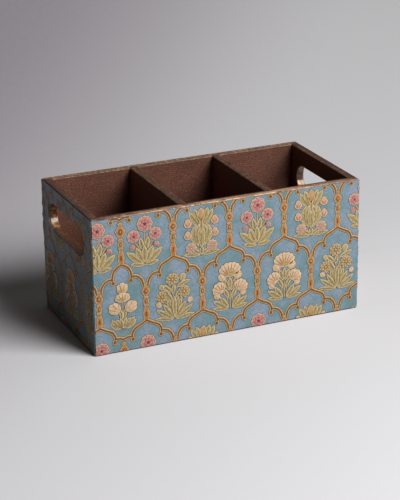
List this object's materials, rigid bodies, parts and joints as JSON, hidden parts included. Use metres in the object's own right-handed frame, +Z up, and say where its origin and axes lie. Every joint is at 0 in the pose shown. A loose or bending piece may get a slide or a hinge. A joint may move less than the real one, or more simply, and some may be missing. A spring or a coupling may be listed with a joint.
{
  "type": "cutlery organizer",
  "caption": "open-topped rectangular cutlery caddy of painted boards with fixed dividers, a rounded hand slot in each end and a decorated printed sheet on every outside face",
  "frame": {"origin": "middle of the underside, on the surface that the box stands on", "axes": "+X along the box to the right as seen from the front, -Y out of the front face, +Z up"},
  "size_m": [0.25, 0.124, 0.1215],
  "materials": {
    "painted_mdf": "satin brown paint with a bronze sheen on the rim and in the hand slots",
    "printed_sheet": "mottled blue lacquered print with an embossed floral trellis",
    "steel_brad": "bright drawn wire"
  },
  "bodies": {
    "root": {"front_board": "painted_mdf", "back_board": "painted_mdf", "left_end_board": "painted_mdf", "right_end_board": "painted_mdf", "left_divider": "painted_mdf", "right_divider": "painted_mdf", "base_board": "painted_mdf", "front_print_sheet": "printed_sheet", "back_print_sheet": "printed_sheet", "left_print_sheet": "printed_sheet", "right_print_sheet": "printed_sheet", "front_left_corner_brads": "steel_brad", "front_right_corner_brads": "steel_brad", "back_left_corner_brads": "steel_brad", "back_right_corner_brads": "steel_brad", "front_left_divider_brads": "steel_brad", "front_right_divider_brads": "steel_brad", "back_left_divider_brads": "steel_brad", "back_right_divider_brads": "steel_brad", "front_base_brads": "steel_brad", "back_base_brads": "steel_brad", "left_base_brads": "steel_brad", "right_base_brads": "steel_brad"}
  },
  "joints": []
}
